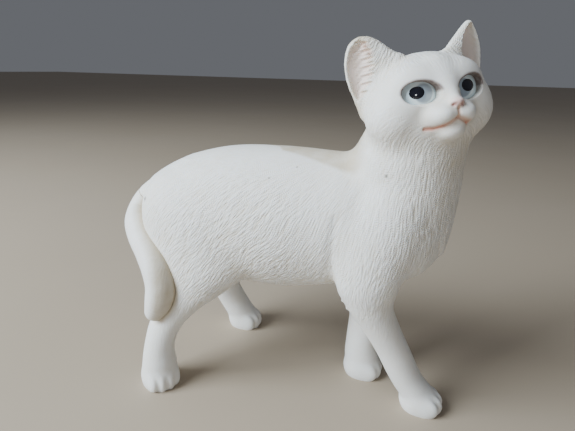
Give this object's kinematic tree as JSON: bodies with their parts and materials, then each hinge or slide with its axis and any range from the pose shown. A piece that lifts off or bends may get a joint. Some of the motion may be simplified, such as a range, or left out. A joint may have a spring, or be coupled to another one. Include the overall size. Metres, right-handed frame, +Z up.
{
  "type": "cat figurine",
  "caption": "Small standing cat figurine in cream-white moulded plastic with engraved fur, turned head, hanging tail and glossy pale-blue eye inserts.",
  "frame": {"origin": "on the ground under the middle of the figurine's bounding box", "axes": "+X towards the chest, +Y towards the cat's left side, +Z up"},
  "size_m": [0.0814, 0.0416, 0.0843],
  "materials": {
    "body": "matte cream-white moulding with engraved fur and a faint beige wash in the grooves",
    "head": "matte cream-white moulding, painted pink on the nose, mouth line and inner ears",
    "eye": "clear gloss over pale blue, lighter at the rim",
    "pupil": "gloss black"
  },
  "bodies": {
    "root": {"front_body": "body", "rear_body": "body", "head": "head", "tail": "body", "right_fore_leg": "body", "left_fore_leg": "body", "right_hind_leg": "body", "left_hind_leg": "body", "right_eye": "eye", "left_eye": "eye", "right_pupil": "pupil", "left_pupil": "pupil"}
  },
  "joints": []
}
